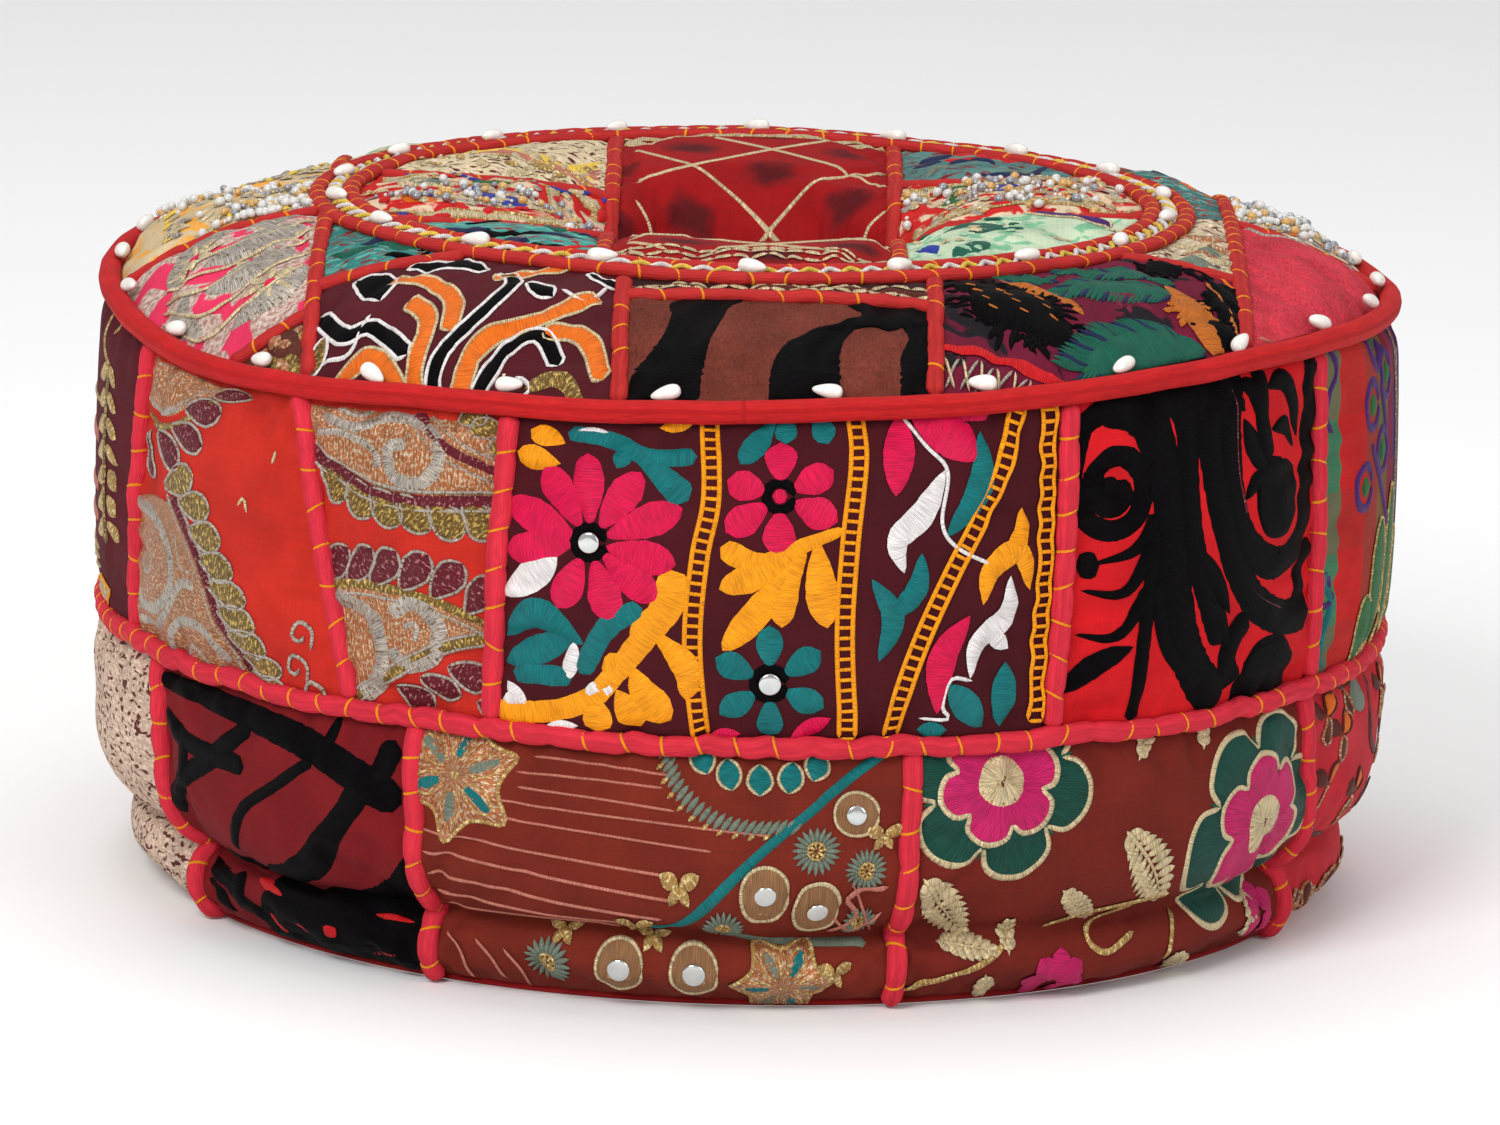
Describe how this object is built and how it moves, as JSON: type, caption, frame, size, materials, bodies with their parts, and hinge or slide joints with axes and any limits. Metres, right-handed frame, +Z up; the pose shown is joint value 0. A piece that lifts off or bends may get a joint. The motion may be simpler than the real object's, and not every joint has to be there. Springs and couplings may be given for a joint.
{
  "type": "patchwork floor pouf",
  "caption": "Round stuffed floor pouf: embroidered patchwork cover with corded seams, beaded top with a tufted well, and a zipped canvas base.",
  "frame": {"origin": "middle of the base, on the floor", "axes": "+Z up, -Y towards the front, which has the widest mirror-work patch; +X to the right"},
  "size_m": [0.56, 0.5603, 0.3014],
  "materials": {
    "anchor_plastic": "matte",
    "base_canvas": "matte cotton canvas",
    "black_cloth": "matte cloth with raised pile",
    "brown_cloth": "matte woven cloth with embroidery",
    "cotton_stuffing": "loose cotton waste",
    "cream_cloth": "woven cloth with metallic thread",
    "gold_cloth": "woven cloth under twisted thread",
    "green_cloth": "matte woven cloth with bands",
    "maroon_cloth": "matte woven cloth with embroidery",
    "mint_cloth": "matte woven cloth",
    "mirror_glass": "small silvered glass",
    "orange_red_cloth": "matte woven cloth with embroidery",
    "pink_cloth": "woven cloth with a soft sheen",
    "pink_cord": "stuffed cord pinched by stitches",
    "plain_cotton": "matte calico",
    "red_cloth": "matte woven cloth with embroidery",
    "red_cord": "stuffed cord pinched by stitches",
    "red_welt": "cloth-covered welt",
    "shell_bead": "glossy, off-white",
    "teal_cloth": "matte woven cloth with streaks",
    "tie_cord": "twisted cotton cord",
    "zip_coil": "satin nylon",
    "zip_metal": "worn antique brass",
    "zip_tape": "matte woven tape"
  },
  "bodies": {
    "cover": {"base_panel_flap": "base_canvas", "base_panel_main": "base_canvas", "base_trim": "red_welt", "bead_track_band": "gold_cloth", "cotton_lining": "plain_cotton", "inner_casing": "plain_cotton", "inner_patch_beaded_left": "red_cloth", "inner_patch_beaded_right": "red_cloth", "inner_patch_cream_fan": "cream_cloth", "inner_patch_mint_right": "mint_cloth", "inner_patch_red_quilt": "red_cloth", "inner_patch_teal_left": "teal_cloth", "inner_patch_teal_right": "teal_cloth", "lower_patch_black_brush": "maroon_cloth", "lower_patch_cream_zari": "cream_cloth", "lower_patch_pink_leaf": "pink_cloth", "lower_patch_rear_brown": "brown_cloth", "lower_patch_rear_red": "red_cloth", "lower_patch_rose_vine": "brown_cloth", "lower_patch_star_mirror": "brown_cloth", "lower_seam_cords": "pink_cord", "mirror_discs": "mirror_glass", "rim_welt": "red_welt", "ring_cord_inner": "pink_cord", "ring_cord_outer": "pink_cord", "shell_beads": "shell_bead", "stuffing_core": "cotton_stuffing", "tier_seam_cord": "pink_cord", "top_patch_black_fern": "black_cloth", "top_patch_blue_bead": "cream_cloth", "top_patch_braid_strip": "black_cloth", "top_patch_brown_corner": "brown_cloth", "top_patch_brown_zebra": "brown_cloth", "top_patch_cream_back": "cream_cloth", "top_patch_cream_corner": "cream_cloth", "top_patch_maroon_swirl": "maroon_cloth", "top_patch_pink_silver": "pink_cloth", "top_patch_red_velvet": "pink_cloth", "top_patch_silver_bead": "cream_cloth", "top_patch_teal_back": "teal_cloth", "top_patch_teal_corner": "teal_cloth", "top_seam_cords": "red_cord", "tuft_anchor": "anchor_plastic", "tuft_button": "red_cloth", "tuft_cord": "tie_cord", "upper_patch_black_scroll": "red_cloth", "upper_patch_green_plaid": "green_cloth", "upper_patch_maroon_gold": "maroon_cloth", "upper_patch_mirror_flowers": "maroon_cloth", "upper_patch_paisley_left": "orange_red_cloth", "upper_patch_paisley_right": "orange_red_cloth", "upper_patch_rear_flowers": "maroon_cloth", "upper_patch_rear_paisley": "orange_red_cloth", "upper_patch_teal_vine": "teal_cloth", "upper_seam_cords": "pink_cord", "zip_stops": "zip_metal", "zip_tapes": "zip_tape", "zip_teeth": "zip_coil"},
    "zip_slider": {"zip_slider": "zip_metal"},
    "zip_pull": {"zip_pull": "zip_metal"}
  },
  "joints": [
    {"name": "slider_travel", "type": "slide", "parent": "cover", "child": "zip_slider", "axis": [-1, 0, 0], "range_m": [0, 0.32]},
    {"name": "pull_swing", "type": "hinge", "parent": "zip_slider", "child": "zip_pull", "pos_m": [0.16, 0.112, 0.0037], "axis": [0, 1, 0], "range_deg": [0, 170]}
  ]
}
